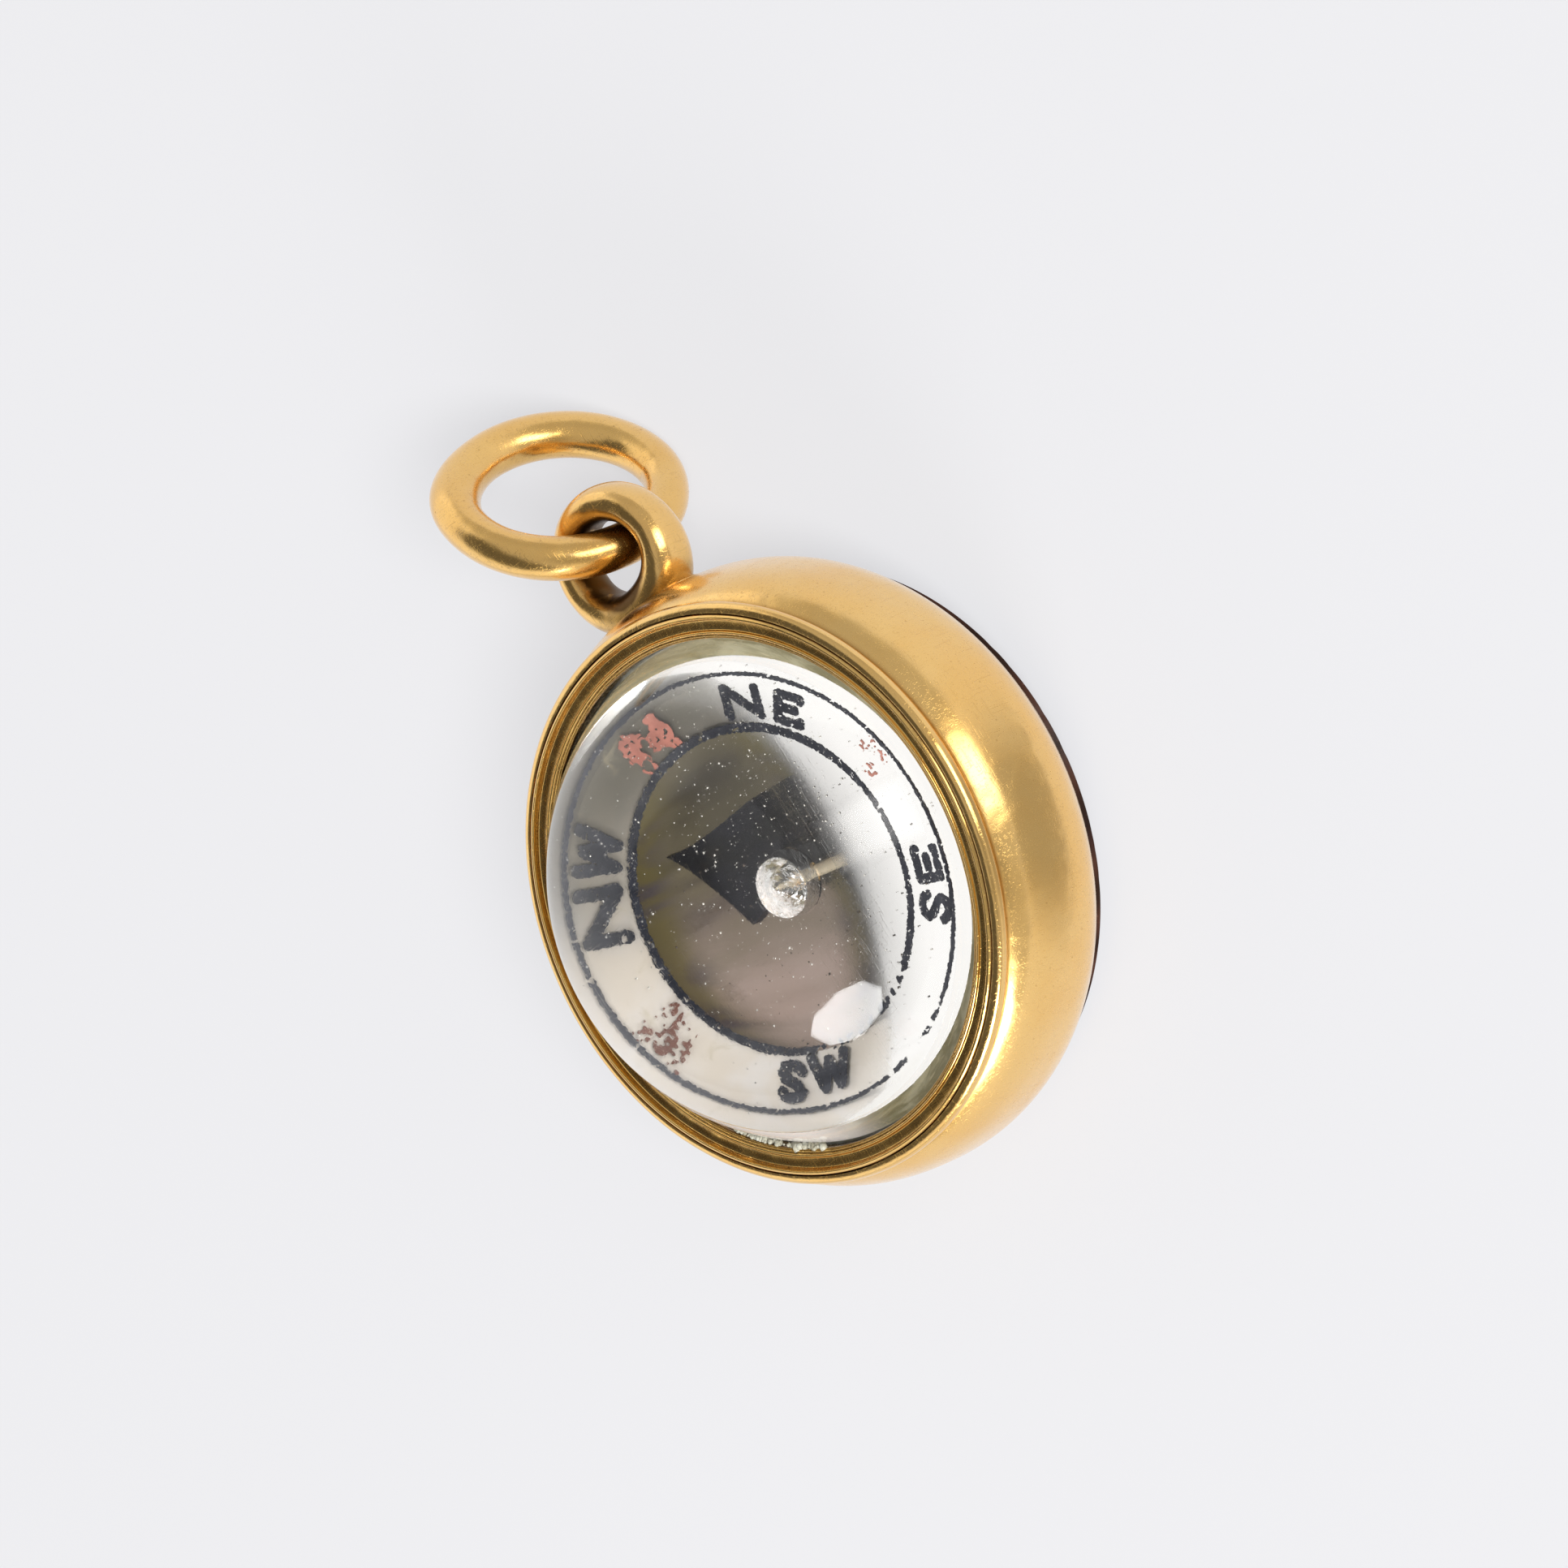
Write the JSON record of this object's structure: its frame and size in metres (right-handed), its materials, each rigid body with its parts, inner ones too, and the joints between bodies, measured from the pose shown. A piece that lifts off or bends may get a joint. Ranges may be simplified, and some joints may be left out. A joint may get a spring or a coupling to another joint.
{
  "type": "compass charm",
  "caption": "Small round gold compass charm with a solid glass dome, a hardstone back, a pendant eye and a swinging bow ring.",
  "frame": {"origin": "centre of the stone's flat back, which the charm rests on", "axes": "+Z through the case towards the glass dome, +Y towards the pendant eye, +X to the right seen from the front"},
  "size_m": [0.0198, 0.0277, 0.013],
  "materials": {
    "gold": "polished gold, worn",
    "gold_bright": "polished gold, bright edges",
    "gold_tarnished": "tarnished, satin",
    "glass": "polished, clear",
    "hardstone": "polished",
    "cement": "crumbly, matt",
    "silvered_plate": "silvered, satin",
    "tarnished_floor": "tarnished, matt",
    "brass": "turned",
    "staff_gold": "polished",
    "blued_steel": "blued, satin"
  },
  "bodies": {
    "case": {"back_stone": "hardstone", "stone_cement": "cement", "backing_plate": "gold", "case_body": "gold", "front_collar": "gold_bright", "front_bezel": "gold_bright", "crystal": "glass", "crystal_cement": "cement", "crystal_seat": "gold_tarnished", "dial_plate": "silvered_plate", "chamber_cup": "gold_tarnished", "chamber_floor": "tarnished_floor", "lower_bearing": "brass", "pendant_eye": "gold", "eye_saddle": "gold_bright"},
    "needle_assembly": {"needle_staff": "staff_gold", "needle_collet": "brass", "needle": "blued_steel"},
    "bow": {"bow_ring": "gold"}
  },
  "joints": [
    {"name": "needle_spin", "type": "hinge", "parent": "case", "child": "needle_assembly", "pos_m": [0, 0, 0.0031], "axis": [0, 0, 1], "continuous": true},
    {"name": "bow_swing", "type": "hinge", "parent": "case", "child": "bow", "pos_m": [-0.00087, 0.01312, 0.0029], "axis": [0.8821, 0.471, 0], "range_deg": [-5, 70]}
  ]
}
